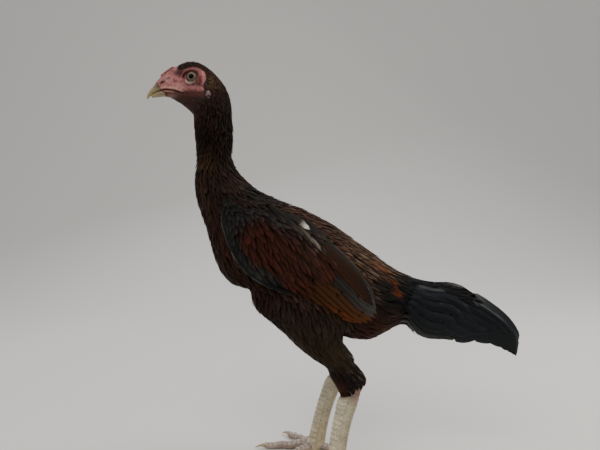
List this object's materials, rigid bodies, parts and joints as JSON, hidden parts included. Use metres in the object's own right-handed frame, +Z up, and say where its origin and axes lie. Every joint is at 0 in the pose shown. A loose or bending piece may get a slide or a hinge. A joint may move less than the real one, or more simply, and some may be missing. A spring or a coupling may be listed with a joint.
{
  "type": "australian game chicken",
  "caption": "Life-size standing game hen with an upright neck, tight feathers, bare red face, low comb, folded wings and a long drooping tail.",
  "frame": {"origin": "on the floor, under the middle of the bird's box", "axes": "the bird faces -X, its left side is -Y, +Z is up"},
  "size_m": [0.469, 0.172, 0.5212],
  "materials": {
    "bare_skin": "soft, bare red skin with fine folds",
    "bill_horn": "smooth olive-yellow horn",
    "eye": "wet, pearl iris with a black pupil",
    "brown_feathers": "tight dark brown feathers with rusty edges",
    "wing_feathers": "mahogany and rust feathers, black at the shoulder",
    "tail_feathers": "black feathers with a faint blue-green gloss",
    "leg_scales": "ivory to straw scales, dry and slightly rough",
    "claw_horn": "pale horn"
  },
  "bodies": {
    "root": {"head": "bare_skin", "bill_upper": "bill_horn", "bill_lower": "bill_horn", "eye_left": "eye", "eye_right": "eye", "neck": "brown_feathers", "torso": "brown_feathers", "tail": "tail_feathers", "wing_left": "wing_feathers", "wing_right": "wing_feathers", "thigh_left": "brown_feathers", "thigh_right": "brown_feathers", "shank_left": "leg_scales", "shank_right": "leg_scales", "toe_middle_left": "leg_scales", "toe_inner_left": "leg_scales", "toe_outer_left": "leg_scales", "toe_hind_left": "leg_scales", "toe_middle_right": "leg_scales", "toe_inner_right": "leg_scales", "toe_outer_right": "leg_scales", "toe_hind_right": "leg_scales", "claw_middle_left": "claw_horn", "claw_inner_left": "claw_horn", "claw_outer_left": "claw_horn", "claw_hind_left": "claw_horn", "claw_middle_right": "claw_horn", "claw_inner_right": "claw_horn", "claw_outer_right": "claw_horn", "claw_hind_right": "claw_horn"}
  },
  "joints": []
}
